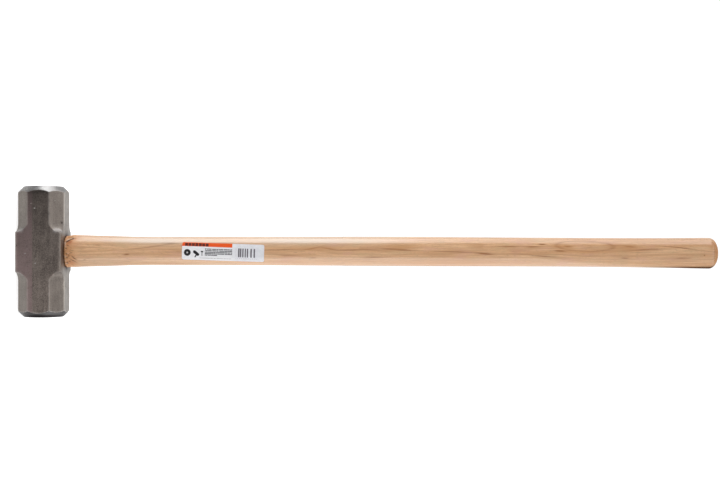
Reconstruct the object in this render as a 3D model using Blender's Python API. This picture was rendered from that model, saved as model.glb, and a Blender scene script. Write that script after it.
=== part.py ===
"""Double-faced sledgehammer on a wedged hardwood handle, modelled as its separate pieces.

Frame, in metres: the hammer stands on the crown side of its head, where the handle's wedged end shows.
The origin is the centre of that side, +Z runs up along the handle, and X runs along the head from one
striking face to the other. The handle's oval section is longest along X, the direction of the blow.

Pieces: head, handle, wood_wedge, steel_wedge_near, steel_wedge_far and handle_label.
"""

import math

import bmesh
import bpy
from mathutils import Vector

# Head: a square bar whose corners are cut back to an octagon from each striking face towards the eye.
HEAD_LENGTH = 0.1715
HEAD_ACROSS = 0.061
FLAT_WIDTH = 0.0280
SQUARE_CORNER_RADIUS = 0.004
SQUARE_LENGTH = 0.051
RUNOUT_RADIUS = 0.012
FACE_RADIUS = 0.0248
FACE_CHAMFER_REACH = 0.022

# Eye: an oval hole through the head, waisted so that the wedged tongue can't slip either way.
EYE_WAIST_HALF = Vector((0.0180, 0.0138))
EYE_CROWN_HALF = Vector((0.0198, 0.0156))
EYE_MOUTH_HALF = Vector((0.0197, 0.0155))
EYE_WAIST_HEIGHT = 0.034
EYE_ROUNDNESS = 2.35

# Handle: overall length of the tool, and its oval section as half-widths along X and Y at heights along Z.
OVERALL_LENGTH = 0.9144
SHAFT_STATIONS = (
    (0.071, 0.0214, 0.0175),
    (0.092, 0.0207, 0.0168),
    (0.117, 0.0200, 0.0162),
    (0.150, 0.0190, 0.0155),
    (0.184, 0.0187, 0.0152),
    (0.300, 0.0188, 0.0152),
    (0.498, 0.0193, 0.0155),
    (0.720, 0.0190, 0.0153),
    (0.839, 0.0195, 0.0158),
    (0.891, 0.0202, 0.0164),
    (0.9144, 0.0203, 0.0165),
)
SHAFT_ROUNDNESS = 2.1
SHAFT_OFFSET = -0.0009
SHAFT_BOW = 0.0031
SHAFT_BOW_POWER = 2.2
GRIP_DOME_DEPTH = 0.0118

# Wedging: one wooden wedge along the eye, and two steel wedges across it.
TONGUE_RECESS = 0.0008
KERF_DEPTH = 0.048
KERF_TIP_HALF = 0.0010
WOOD_WEDGE_TIP = 0.040
WOOD_WEDGE_HALF_AT_CROWN = 0.0032
WOOD_WEDGE_HALF_AT_TIP = 0.0007
STEEL_WEDGE_OFFSET = 0.0092
STEEL_WEDGE_RECESS = 0.0012
STEEL_WEDGE_TIP = 0.028
STEEL_WEDGE_HALF_WIDTH = 0.0100
STEEL_WEDGE_HALF_AT_CROWN = 0.0020
STEEL_WEDGE_HALF_AT_TIP = 0.0004
STEEL_WEDGE_BARBS = 4
STEEL_WEDGE_BARB_DEPTH = 0.00035

# Label: a paper sticker wrapped on the front of the handle, set slightly askew.
LABEL_START = 0.2138
LABEL_LENGTH = 0.1068
LABEL_WIDTH = 0.0232
LABEL_SKEW = math.radians(1.9)
LABEL_SHIFT = -0.0004
LABEL_LIFT = 0.00015
LABEL_THICKNESS = 0.0002

FIT_GAP = 0.0003
CUT_OVERRUN = 0.002
LATHE_STEPS = 56
OVAL_STEPS = 40
HEAD_CENTRE_HEIGHT = HEAD_ACROSS / 2


def clear_scene():
    for obj in list(bpy.data.objects):
        bpy.data.objects.remove(obj)


def make_material(name, colour, roughness, metallic):
    material = bpy.data.materials.new(name)
    material.use_nodes = True
    shader = material.node_tree.nodes["Principled BSDF"]
    shader.inputs["Base Color"].default_value = (*colour, 1.0)
    shader.inputs["Roughness"].default_value = roughness
    shader.inputs["Metallic"].default_value = metallic
    material.diffuse_color = (*colour, 1.0)
    return material


def make_object(name, mesh_builder, material=None, smooth_angle=math.radians(35)):
    """An object made from a bmesh. Without a material it is a cutter, which isn't part of the hammer."""
    mesh = bpy.data.meshes.new(name)
    mesh_builder.to_mesh(mesh)
    mesh_builder.free()
    obj = bpy.data.objects.new(name, mesh)
    bpy.context.scene.collection.objects.link(obj)
    if material is None:
        obj.hide_render = True
        obj.display_type = "WIRE"
        return obj
    mesh.materials.append(material)
    mesh.shade_smooth()
    mesh.set_sharp_from_angle(angle=smooth_angle)
    return obj


def add_boolean(obj, cutter, operation="DIFFERENCE"):
    modifier = obj.modifiers.new(cutter.name, "BOOLEAN")
    modifier.operation = operation
    modifier.object = cutter
    modifier.solver = "EXACT"


def loft(builder, rings):
    """Joins closed rings of equal point counts into one closed surface with flat ends."""
    loops = [[builder.verts.new(point) for point in ring] for ring in rings]
    for lower, upper in zip(loops, loops[1:]):
        for i in range(len(lower)):
            j = (i + 1) % len(lower)
            builder.faces.new((lower[i], lower[j], upper[j], upper[i]))
    builder.faces.new(reversed(loops[0]))
    builder.faces.new(loops[-1])
    bmesh.ops.recalc_face_normals(builder, faces=builder.faces)
    return builder


def blend(low, high, share):
    """Smooth step from low to high as share runs from 0 to 1."""
    share = min(max(share, 0.0), 1.0)
    return low + (high - low) * share * share * (3 - 2 * share)


def oval_offset(half, roundness, angle):
    """Point of a superellipse with these half-widths, as an (x, y) offset from its centre."""
    cosine, sine = math.cos(angle), math.sin(angle)
    return (
        math.copysign(half[0] * abs(cosine) ** (2 / roundness), cosine),
        math.copysign(half[1] * abs(sine) ** (2 / roundness), sine),
    )


def oval_ring(height, half, roundness, centre_x=0.0, steps=OVAL_STEPS):
    ring = []
    for i in range(steps):
        x, y = oval_offset(half, roundness, 2 * math.pi * i / steps)
        ring.append((centre_x + x, y, height))
    return ring


# Eye, tongue and shaft sections


def eye_half(height):
    """The eye's half-widths at this height: widest at its two mouths, narrowest at the waist."""
    if height < EYE_WAIST_HEIGHT:
        share, mouth = (EYE_WAIST_HEIGHT - height) / EYE_WAIST_HEIGHT, EYE_CROWN_HALF
    else:
        reach = HEAD_ACROSS - EYE_WAIST_HEIGHT
        share, mouth = (height - EYE_WAIST_HEIGHT) / reach, EYE_MOUTH_HALF
    return EYE_WAIST_HALF + (mouth - EYE_WAIST_HALF) * share**2


def tongue_half(height):
    return eye_half(height) - Vector((FIT_GAP, FIT_GAP))


def eye_reach(height, depth):
    """How far the eye reaches along X, at this height and this distance from its middle plane."""
    half = tongue_half(height)
    return half.x * (1 - abs(depth / half.y) ** EYE_ROUNDNESS) ** (1 / EYE_ROUNDNESS)


def shaft_half(height):
    """The shaft's half-widths at this height, on a smooth curve through the stations."""
    heights = [station[0] for station in SHAFT_STATIONS]
    last = len(heights) - 2
    i = min(max(sum(h <= height for h in heights) - 1, 0), last)
    before, after = SHAFT_STATIONS[max(i - 1, 0)], SHAFT_STATIONS[min(i + 2, last + 1)]
    start, end = SHAFT_STATIONS[i], SHAFT_STATIONS[i + 1]
    span = end[0] - start[0]
    t = (height - start[0]) / span
    half = []
    for axis in (1, 2):
        slope_in = (end[axis] - before[axis]) / (end[0] - before[0]) * span
        slope_out = (after[axis] - start[axis]) / (after[0] - start[0]) * span
        half.append(
            (2 * t**3 - 3 * t**2 + 1) * start[axis]
            + (t**3 - 2 * t**2 + t) * slope_in
            + (3 * t**2 - 2 * t**3) * end[axis]
            + (t**3 - t**2) * slope_out
        )
    return Vector(half)


def shaft_centre(height):
    """Shift of the handle's centre along X: it leaves the eye a little to -X, and bows towards +X."""
    shoulder = SHAFT_STATIONS[0][0]
    leaving = blend(0.0, SHAFT_OFFSET, (height - HEAD_ACROSS) / (shoulder - HEAD_ACROSS))
    share = max(height - shoulder, 0.0) / (OVERALL_LENGTH - shoulder)
    return leaving + SHAFT_BOW * share**SHAFT_BOW_POWER


# Head


def make_bar():
    builder = bmesh.new()
    bmesh.ops.create_cube(builder, size=1.0)
    bmesh.ops.scale(builder, vec=(HEAD_LENGTH, HEAD_ACROSS, HEAD_ACROSS), verts=builder.verts)
    bmesh.ops.translate(builder, vec=(0, 0, HEAD_CENTRE_HEIGHT), verts=builder.verts)
    long_edges = [
        edge
        for edge in builder.edges
        if abs(edge.verts[0].co.x - edge.verts[1].co.x) > HEAD_LENGTH / 2
    ]
    bmesh.ops.bevel(
        builder,
        geom=long_edges,
        offset=SQUARE_CORNER_RADIUS,
        offset_type="OFFSET",
        segments=4,
        profile=0.5,
        affect="EDGES",
    )
    return builder


def make_face_lathe():
    """A turned solid with a cone at each end, which leaves round striking faces with 45 degree chamfers."""
    rings = []
    end = HEAD_LENGTH / 2 + CUT_OVERRUN
    reach = FACE_CHAMFER_REACH
    profile = (
        (-end, FACE_RADIUS - CUT_OVERRUN),
        (-HEAD_LENGTH / 2 + reach, FACE_RADIUS + reach),
        (HEAD_LENGTH / 2 - reach, FACE_RADIUS + reach),
        (end, FACE_RADIUS - CUT_OVERRUN),
    )
    for x, radius in profile:
        ring = []
        for i in range(LATHE_STEPS):
            angle = 2 * math.pi * i / LATHE_STEPS
            ring.append((x, radius * math.cos(angle), HEAD_CENTRE_HEIGHT + radius * math.sin(angle)))
        rings.append(ring)
    return loft(bmesh.new(), rings)


def corner_cut_profile():
    """Outline of a corner cut, as (distance along the head, distance out from its axis on the diagonal)."""
    facet = (HEAD_ACROSS + FLAT_WIDTH) / 2 / math.sqrt(2)
    run_end = SQUARE_LENGTH / 2 + RUNOUT_RADIUS
    outside = HEAD_LENGTH / 2 + 2 * CUT_OVERRUN
    clear_of_corner = HEAD_ACROSS
    profile = [(outside, clear_of_corner), (outside, facet)]
    arc_steps = 8
    for i in range(arc_steps + 1):
        angle = math.pi / 2 * i / arc_steps
        profile.append(
            (run_end - RUNOUT_RADIUS * math.sin(angle), facet + RUNOUT_RADIUS * (1 - math.cos(angle)))
        )
    profile.append((SQUARE_LENGTH / 2, clear_of_corner))
    return profile


def make_corner_cuts():
    """Eight cuts, one on each corner at each end, each run out of the steel on an arc."""
    builder = bmesh.new()
    centre = Vector((0, 0, HEAD_CENTRE_HEIGHT))
    half_width = HEAD_ACROSS / 2
    for end in (-1, 1):
        for side in (-1, 1):
            for level in (-1, 1):
                outward = Vector((0, side, level)).normalized()
                across = Vector((0, -level, side)).normalized()
                rings = []
                for shift in (-half_width, half_width):
                    ring = [
                        centre + Vector((end * along, 0, 0)) + outward * out + across * shift
                        for along, out in corner_cut_profile()
                    ]
                    rings.append(ring)
                loft(builder, rings)
    return builder


def make_eye_cut():
    heights = [-CUT_OVERRUN]
    eye_steps = 10
    heights += [HEAD_ACROSS * i / eye_steps for i in range(eye_steps + 1)]
    heights.append(HEAD_ACROSS + CUT_OVERRUN)
    rings = [oval_ring(h, eye_half(min(max(h, 0), HEAD_ACROSS)), EYE_ROUNDNESS) for h in heights]
    return loft(bmesh.new(), rings)


def make_head(material):
    head = make_object("head", make_bar(), material)
    add_boolean(head, make_object("corner_cuts", make_corner_cuts()))
    add_boolean(head, make_object("face_lathe", make_face_lathe()), "INTERSECT")
    add_boolean(head, make_object("eye_cut", make_eye_cut()))
    return head


# Handle


def handle_rings():
    rings = []
    tongue_steps = 9
    shoulder = SHAFT_STATIONS[0][0]
    for i in range(tongue_steps + 1):
        height = TONGUE_RECESS + (HEAD_ACROSS - TONGUE_RECESS) * i / tongue_steps
        rings.append(oval_ring(height, tongue_half(height), EYE_ROUNDNESS))
    shoulder_steps = 3
    for i in range(1, shoulder_steps + 1):
        share = i / shoulder_steps
        half = tongue_half(HEAD_ACROSS).lerp(shaft_half(shoulder), blend(0, 1, share))
        height = HEAD_ACROSS + (shoulder - HEAD_ACROSS) * share
        roundness = blend(EYE_ROUNDNESS, SHAFT_ROUNDNESS, share)
        rings.append(oval_ring(height, half, roundness, shaft_centre(height)))
    dome_start = OVERALL_LENGTH - GRIP_DOME_DEPTH
    shaft_steps = 26
    for i in range(1, shaft_steps + 1):
        height = shoulder + (dome_start - shoulder) * i / shaft_steps
        rings.append(oval_ring(height, shaft_half(height), SHAFT_ROUNDNESS, shaft_centre(height)))
    dome_steps = 7
    last_angle = math.radians(82)
    for i in range(1, dome_steps + 1):
        angle = last_angle * i / dome_steps
        height = dome_start + GRIP_DOME_DEPTH * math.sin(angle) / math.sin(last_angle)
        half = shaft_half(height) * math.cos(angle)
        rings.append(oval_ring(height, half, SHAFT_ROUNDNESS, shaft_centre(height)))
    return rings


def make_kerf_cut():
    """The saw cut along the eye, spread open by the wooden wedge."""
    heights = (-CUT_OVERRUN, TONGUE_RECESS, WOOD_WEDGE_TIP, KERF_DEPTH)
    open_half = WOOD_WEDGE_HALF_AT_CROWN + FIT_GAP
    halves = (open_half, open_half, KERF_TIP_HALF, KERF_TIP_HALF)
    reach = EYE_CROWN_HALF.x + CUT_OVERRUN
    rings = [
        [(-reach, -half, height), (reach, -half, height), (reach, half, height), (-reach, half, height)]
        for height, half in zip(heights, halves)
    ]
    return loft(bmesh.new(), rings)


def steel_wedge_half(height):
    share = (height - STEEL_WEDGE_RECESS) / (STEEL_WEDGE_TIP - STEEL_WEDGE_RECESS)
    return STEEL_WEDGE_HALF_AT_CROWN + (STEEL_WEDGE_HALF_AT_TIP - STEEL_WEDGE_HALF_AT_CROWN) * share


def make_steel_slot(offset):
    """The split that a steel wedge opens, a gap wider than the wedge all round."""
    half_width = STEEL_WEDGE_HALF_WIDTH + FIT_GAP
    rings = []
    for height in (-CUT_OVERRUN, STEEL_WEDGE_TIP + FIT_GAP):
        half = steel_wedge_half(height) + FIT_GAP
        rings.append(
            [
                (offset - half, -half_width, height),
                (offset + half, -half_width, height),
                (offset + half, half_width, height),
                (offset - half, half_width, height),
            ]
        )
    return loft(bmesh.new(), rings)


def make_handle(material, slots):
    handle = make_object("handle", loft(bmesh.new(), handle_rings()), material)
    add_boolean(handle, make_object("kerf_cut", make_kerf_cut()))
    for slot in slots:
        add_boolean(handle, slot)
    return handle


# Wedges


def make_wood_wedge(material, slots):
    rings = []
    steps = 8
    for i in range(steps + 1):
        share = i / steps
        height = TONGUE_RECESS + (WOOD_WEDGE_TIP - TONGUE_RECESS) * share
        half = WOOD_WEDGE_HALF_AT_CROWN + (WOOD_WEDGE_HALF_AT_TIP - WOOD_WEDGE_HALF_AT_CROWN) * share
        reach = eye_reach(height, half)
        rings.append(
            [(-reach, -half, height), (reach, -half, height), (reach, half, height), (-reach, half, height)]
        )
    wedge = make_object("wood_wedge", loft(bmesh.new(), rings), material)
    for slot in slots:
        add_boolean(wedge, slot)
    return wedge


def make_steel_wedge(name, offset, material):
    """A flat taper of steel whose two broad faces are stepped into barbs that grip the wood."""
    side = []
    pitch = (STEEL_WEDGE_TIP - STEEL_WEDGE_RECESS) / (STEEL_WEDGE_BARBS + 1)
    for i in range(STEEL_WEDGE_BARBS + 1):
        top = STEEL_WEDGE_RECESS + pitch * i
        side.append((steel_wedge_half(top), top))
        if i < STEEL_WEDGE_BARBS:
            side.append((steel_wedge_half(top + pitch) - STEEL_WEDGE_BARB_DEPTH, top + pitch))
    side.append((STEEL_WEDGE_HALF_AT_TIP, STEEL_WEDGE_TIP))
    outline = side + [(-half, height) for half, height in reversed(side)]
    rings = [
        [(offset + half, depth, height) for half, height in outline]
        for depth in (-STEEL_WEDGE_HALF_WIDTH, STEEL_WEDGE_HALF_WIDTH)
    ]
    return make_object(name, loft(bmesh.new(), rings), material)


# Label


def shaft_surface(height, arc, lift):
    """Point that lies this far over the shaft's surface, at a distance arc round it from its front line.

    The front line is where the shaft faces -Y, and arc grows towards +X."""
    half = shaft_half(height)
    walk, angle, step = 0.0, -math.pi / 2, math.radians(0.5) * (1 if arc > 0 else -1)
    here = Vector(oval_offset(half, SHAFT_ROUNDNESS, angle))
    while walk < abs(arc):
        angle += step
        there = Vector(oval_offset(half, SHAFT_ROUNDNESS, angle))
        length = (there - here).length
        if walk + length > abs(arc):
            here = here.lerp(there, (abs(arc) - walk) / length)
            break
        walk += length
        here = there
    power = SHAFT_ROUNDNESS - 1
    outward = Vector(
        (
            math.copysign(abs(here.x / half.x) ** power / half.x, here.x),
            math.copysign(abs(here.y / half.y) ** power / half.y, here.y),
        )
    ).normalized()
    here += outward * lift
    return (shaft_centre(height) + here.x, here.y, height)


def make_label(material):
    """A thin curved slab that follows the shaft, built as rings round its own edge."""
    along_steps, across_steps = 14, 12
    builder = bmesh.new()
    grids = []
    for lift in (LABEL_LIFT, LABEL_LIFT + LABEL_THICKNESS):
        grid = []
        for i in range(along_steps + 1):
            along = LABEL_LENGTH * i / along_steps
            row = []
            for j in range(across_steps + 1):
                across = LABEL_WIDTH * (j / across_steps - 0.5)
                height = LABEL_START + along * math.cos(LABEL_SKEW) - across * math.sin(LABEL_SKEW)
                arc = LABEL_SHIFT + along * math.sin(LABEL_SKEW) + across * math.cos(LABEL_SKEW)
                row.append(builder.verts.new(shaft_surface(height, arc, lift)))
            grid.append(row)
        grids.append(grid)
    for grid in grids:
        for i in range(along_steps):
            for j in range(across_steps):
                builder.faces.new((grid[i][j], grid[i + 1][j], grid[i + 1][j + 1], grid[i][j + 1]))
    under, over = grids
    border = [(i, 0) for i in range(along_steps)]
    border += [(along_steps, j) for j in range(across_steps)]
    border += [(i, across_steps) for i in range(along_steps, 0, -1)]
    border += [(0, j) for j in range(across_steps, 0, -1)]
    for (i, j), (k, m) in zip(border, border[1:] + border[:1]):
        builder.faces.new((under[i][j], under[k][m], over[k][m], over[i][j]))
    bmesh.ops.recalc_face_normals(builder, faces=builder.faces)
    return make_object("handle_label", builder, material)


def main():
    clear_scene()
    forged_steel = make_material("forged_steel", (0.16, 0.14, 0.13), 0.5, 0.85)
    hardwood = make_material("hardwood", (0.60, 0.39, 0.23), 0.45, 0.0)
    wedge_wood = make_material("wedge_wood", (0.52, 0.36, 0.22), 0.6, 0.0)
    wedge_steel = make_material("wedge_steel", (0.38, 0.38, 0.39), 0.4, 1.0)
    label_paper = make_material("label_paper", (0.85, 0.85, 0.88), 0.5, 0.0)

    wedge_places = {"steel_wedge_near": -STEEL_WEDGE_OFFSET, "steel_wedge_far": STEEL_WEDGE_OFFSET}
    slots = [
        make_object(name + "_slot", make_steel_slot(offset)) for name, offset in wedge_places.items()
    ]
    make_head(forged_steel)
    make_handle(hardwood, slots)
    make_wood_wedge(wedge_wood, slots)
    for name, offset in wedge_places.items():
        make_steel_wedge(name, offset, wedge_steel)
    make_label(label_paper)


main()
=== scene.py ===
"""Looks of a double-faced sledgehammer that stands on its head, with the handle upright.

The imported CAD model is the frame: Z runs up along the handle, X along the head from one striking face to the
other, and the label faces -Y. Each visible piece is remade here as a fine mesh inside its CAD solid's space,
or is the CAD solid with a better material. Lengths are in metres, except where a comment says millimetres.
"""

import math
import random
from types import SimpleNamespace

import bpy
import numpy as np
from mathutils import Matrix, Vector, noise


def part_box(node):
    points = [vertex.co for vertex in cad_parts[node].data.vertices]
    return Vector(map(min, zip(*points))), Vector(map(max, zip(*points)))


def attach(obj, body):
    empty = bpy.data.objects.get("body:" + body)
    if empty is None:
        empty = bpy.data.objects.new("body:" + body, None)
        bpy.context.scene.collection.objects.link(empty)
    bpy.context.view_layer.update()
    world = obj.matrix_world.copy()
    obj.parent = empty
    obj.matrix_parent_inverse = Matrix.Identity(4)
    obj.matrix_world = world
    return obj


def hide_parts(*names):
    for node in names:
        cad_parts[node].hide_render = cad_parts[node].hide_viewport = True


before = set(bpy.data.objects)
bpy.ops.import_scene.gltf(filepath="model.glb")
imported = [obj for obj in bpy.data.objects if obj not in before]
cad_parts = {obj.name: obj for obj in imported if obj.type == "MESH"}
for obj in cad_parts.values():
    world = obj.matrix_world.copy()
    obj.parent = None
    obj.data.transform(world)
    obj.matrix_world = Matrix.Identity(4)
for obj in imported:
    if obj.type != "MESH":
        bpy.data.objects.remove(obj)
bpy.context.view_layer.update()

MM = 0.001

# Head, from its CAD solid's box and the sizes that it was designed with.
HEAD_LOW, HEAD_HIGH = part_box("head")
HEAD_END = HEAD_HIGH.x
HEAD_HALF = (HEAD_HIGH.z - HEAD_LOW.z) / 2
HEAD_AXIS = (HEAD_HIGH.z + HEAD_LOW.z) / 2
HEAD_TOP = HEAD_HIGH.z
FLAT_HALF = 14.0 * MM
FACET = (HEAD_HALF + FLAT_HALF) / math.sqrt(2)
SQUARE_CORNER_RADIUS = 4 * MM
SQUARE_HALF_LENGTH = 25.5 * MM
RUNOUT_RADIUS = 12 * MM
FACE_RADIUS = 24.8 * MM
FACE_CROWN = 1.0 * MM
FACE_SETBACK = 0.45 * MM
SIDE_DRAFT = 0.052
RIM_ROUND = 0.85 * MM
PLAIN_START = 41 * MM
SQUARE_CLEARANCE = 20
OCTAGON_EDGE_ROUND = 0.7 * MM
CHAMFER_EDGE_ROUND = 0.9 * MM

# Eye and handle sections: half-widths along X and Y.
EYE_WAIST = (18.0 * MM, 13.8 * MM)
EYE_CROWN = (19.8 * MM, 15.6 * MM)
EYE_MOUTH = (19.7 * MM, 15.5 * MM)
EYE_EASE = 2.0 * MM
EYE_WAIST_HEIGHT = 34 * MM
EYE_ROUNDNESS = 2.35
HANDLE_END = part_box("handle")[1].z
SHOULDER = 71 * MM
SHOULDER_STEP = 0.65
SHAFT_STATIONS = np.array(
    (
        (0.071, 0.0214, 0.0175),
        (0.092, 0.0207, 0.0168),
        (0.117, 0.0200, 0.0162),
        (0.150, 0.0190, 0.0155),
        (0.184, 0.0187, 0.0152),
        (0.300, 0.0188, 0.0152),
        (0.498, 0.0193, 0.0155),
        (0.720, 0.0190, 0.0153),
        (0.839, 0.0195, 0.0158),
        (0.891, 0.0202, 0.0164),
        (0.9144, 0.0203, 0.0165),
    )
)
SHAFT_ROUNDNESS = 2.1
SHAFT_OFFSET = -0.9 * MM
SHAFT_BOW = 3.1 * MM
SHAFT_BOW_POWER = 2.2
DOME_DEPTH = 11.8 * MM
DOME_START = HANDLE_END - DOME_DEPTH
DOME_TURN = 86
DOME_FULLNESS = 0.92
FIT_GAP = 0.3 * MM
WEDGE_EDGE = 0.25 * MM
KNIFE_MARKS, KNIFE_SEED = 46, 11
TONGUE_RECESS = 0.8 * MM
TONGUE_TOP = HEAD_TOP - 1.5 * MM
SHOULDER_TOP = 84 * MM
CUT_START = -2 * MM
SLOT_TIP_HALF = 0.7 * MM
KERF_HALF = 3.5 * MM
KERF_TIP_HALF = 1.0 * MM
KERF_DEPTH = 48 * MM

# Label: a paper sticker on the front of the handle.
LABEL_START = 213.8 * MM
LABEL_LENGTH = 106.8 * MM
LABEL_WIDTH = 23.2 * MM
LABEL_SKEW = math.radians(2.1)
LABEL_SHIFT = -0.4 * MM
LABEL_THICKNESS = 0.2 * MM
LABEL_CORNER = 2.3 * MM
LABEL_LIFT = 0.04 * MM
LABEL_CURL = 0.06 * MM
LABEL_CURL_REACH = 1.2 * MM

# How finely each mesh is divided, round it and along it.
OCTANT_STEPS = 16
EYE_COLUMNS, HANDLE_COLUMNS, LABEL_COLUMNS = 128, 160, 33
SQUARE_ROWS, RUNOUT_ROWS, OCTAGON_ROWS, CHAMFER_ROWS = 27, 25, 35, 12
RIM_ROWS, FACE_ROWS = 6, 18
TONGUE_ROWS, SHOULDER_ROWS, SHAFT_ROWS, DOME_ROWS = 14, 58, 310, 22
LABEL_CORNER_ROWS, LABEL_MIDDLE_ROWS = 9, 90


# Meshes


def smooth_min(a, b, blend):
    """The lesser of two lengths, rounded over where they cross."""
    near = np.maximum(blend - np.abs(a - b), 0) / blend
    return np.minimum(a, b) - near * near * blend / 4


def smooth_step(value, low, high):
    share = np.clip((value - low) / (high - low), 0, 1)
    return share * share * (3 - 2 * share)


def clustered(count, ends):
    """Shares from 0 to 1 that lie closer together near both ends, and evenly where ends is 0."""
    even = np.linspace(0, 1, count + 1)
    return even * (1 - ends) + (1 - np.cos(math.pi * even)) / 2 * ends


def closing(count, power):
    """Shares from 0 to 1 that lie closer together towards 1."""
    return 1 - (1 - np.linspace(0, 1, count)) ** power


def turn_angles(count):
    """Even angles round a full turn, as one row."""
    return np.linspace(0, 2 * math.pi, count + 1)[:-1][None, :]


def rough(points, size, seed=0.0):
    """Smooth noise between -1 and 1 at each point, whose lumps are about this size."""
    flat = np.asarray(points).reshape(-1, 3) / size + seed
    values = np.array([noise.noise(Vector(p)) for p in flat])
    return values.reshape(np.asarray(points).shape[:-1])


def tube_object(name, rings):
    """A closed surface through rings of points (ring, point round it, xyz), closed by a fan at each end."""
    rows, columns, _ = rings.shape
    points = [tuple(p) for p in rings.reshape(-1, 3)]
    faces = []
    for i in range(rows - 1):
        here, above = i * columns, (i + 1) * columns
        for j in range(columns):
            k = (j + 1) % columns
            faces.append((here + j, here + k, above + k, above + j))
    last, first_centre = (rows - 1) * columns, len(points)
    points += [tuple(rings[0].mean(axis=0)), tuple(rings[-1].mean(axis=0))]
    faces += [(first_centre, (j + 1) % columns, j) for j in range(columns)]
    faces += [(first_centre + 1, last + j, last + (j + 1) % columns) for j in range(columns)]
    return mesh_object(name, points, faces)


def link(obj):
    bpy.context.scene.collection.objects.link(obj)


def mesh_object(name, points, faces):
    mesh = bpy.data.meshes.new(name)
    mesh.from_pydata(points, [], faces)
    if signed_volume(mesh) < 0:
        mesh.flip_normals()
    mesh.shade_smooth()
    mesh.update()
    obj = bpy.data.objects.new(name, mesh)
    link(obj)
    return obj


def signed_volume(mesh):
    mesh.calc_loop_triangles()
    corners = vertex_places(mesh)
    triangles = np.empty(len(mesh.loop_triangles) * 3, dtype=int)
    mesh.loop_triangles.foreach_get("vertices", triangles)
    a, b, c = (corners[triangles[i::3]] for i in range(3))
    return float(np.einsum("ij,ij->i", a, np.cross(b, c)).sum())


def cut(obj, *cutters):
    """Cuts the cutters out of the object, for good, and removes them."""
    for cutter in cutters:
        modifier = obj.modifiers.new("cut", "BOOLEAN")
        modifier.operation = "DIFFERENCE"
        modifier.solver = "EXACT"
        modifier.object = cutter
    result = bpy.data.meshes.new_from_object(obj.evaluated_get(bpy.context.evaluated_depsgraph_get()))
    obj.modifiers.clear()
    old, obj.data = obj.data, result
    name = old.name
    bpy.data.meshes.remove(old)
    result.name = name
    for cutter in cutters:
        bpy.data.objects.remove(cutter)


def show_as(obj, node, material):
    """Gives the object its material, and puts it in the place of a CAD solid."""
    obj.data.materials.clear()
    obj.data.materials.append(material)
    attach(obj, "root")
    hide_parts(node)


def sharpen(obj, degrees):
    obj.data.shade_smooth()
    obj.data.set_sharp_from_angle(angle=math.radians(degrees))


def vertex_places(mesh):
    places = np.empty(len(mesh.vertices) * 3)
    mesh.vertices.foreach_get("co", places)
    return places.reshape(-1, 3)


# Head


def head_angles():
    """Angles round the head, closer together at the octagon's edges and the square's corners."""
    edge = math.atan2(FLAT_HALF, HEAD_HALF)
    shares = clustered(OCTANT_STEPS, 0.8)
    to_edge = shares * edge
    to_corner = edge + shares[1:] * (math.pi / 4 - edge)
    octant = np.concatenate((to_edge, to_corner))
    quarter = np.concatenate((octant, math.pi / 2 - octant[-2:0:-1]))
    return np.concatenate([quarter + math.pi / 2 * i for i in range(4)])


def square_radius(angle):
    """Distance from the head's axis to a square bar with rounded corners."""
    a, b = np.abs(np.cos(angle)), np.abs(np.sin(angle))
    flat = HEAD_HALF / np.maximum(a, b)
    corner = HEAD_HALF - SQUARE_CORNER_RADIUS
    along = (a + b) * corner
    inside = np.maximum(along**2 - 2 * corner**2 + SQUARE_CORNER_RADIUS**2, 0)
    rounded = along + np.sqrt(inside)
    in_corner = (rounded * np.minimum(a, b) > corner) & (inside > 0)
    return np.where(in_corner, rounded, flat)


def facet_distance(along, square_half, runout):
    """How far the corner cut lies from the axis: a straight facet that rises on an arc into the corner."""
    into_arc = np.clip((square_half + runout - along) / runout, 0, 1)
    rise = runout * (1 - np.sqrt(1 - into_arc**2))
    past = np.maximum(square_half - along, 0)
    return FACET + rise + past * SQUARE_CLEARANCE


def corner_variation(angle, end):
    """Each corner's run-out differs a little, as hand-guided forging leaves it."""
    quadrant = np.floor(np.mod(angle, 2 * math.pi) / (math.pi / 2))
    shift = np.sin(quadrant * 2.3 + end * 1.7) * 0.5 * MM
    return SQUARE_HALF_LENGTH + shift, RUNOUT_RADIUS + np.cos(quadrant * 1.9 + end) * 0.7 * MM


def head_side_radius(along, angle, end):
    """Distance from the axis to the head's side, this far from the middle towards one end."""
    square_half, runout = corner_variation(angle, end)
    a, b = np.abs(np.cos(angle)), np.abs(np.sin(angle))
    facet = facet_distance(along, square_half, runout) * math.sqrt(2) / (a + b)
    return smooth_min(square_radius(angle), facet, OCTAGON_EDGE_ROUND)


def runout_edge(angle, end):
    """Where the corner cut leaves the square middle, for each angle."""
    square_half, runout = corner_variation(angle, end)
    a, b = np.abs(np.cos(angle)), np.abs(np.sin(angle))
    rise = np.clip(square_radius(angle) * (a + b) / math.sqrt(2) - FACET, 0, runout)
    return square_half + runout - np.sqrt(np.maximum(runout**2 - (runout - rise) ** 2, 0))


def handle_side_draft(along, across, up):
    """How far the square middle's handle side falls away from its centre line, as it leaves the die."""
    middle = 1 - smooth_step(along, SQUARE_HALF_LENGTH, SQUARE_HALF_LENGTH + RUNOUT_RADIUS)
    return SIDE_DRAFT * np.abs(across) * middle * smooth_step(up, 0.5 * HEAD_HALF, HEAD_HALF)


DENTS = (
    # Knocks in the head's sides: x, y, z, radius and depth, in millimetres
    (44, -12, 61, 3.2, 0.9),
    (45.5, -7, 61, 2, 0.5),
    (-37.4, -17, 58, 1.3, 0.7),
    (-52, -30.5, 22, 1.1, 0.3),
    (20, -30.5, 18, 1.2, 0.3),
    (-12, 30.5, 40, 2.2, 0.5),
    (61, 25, 12, 1.8, 0.5),
    (-66, 10, 61, 2.4, 0.5),
    (58, -30.5, 36, 1.4, 0.3),
)


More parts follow.
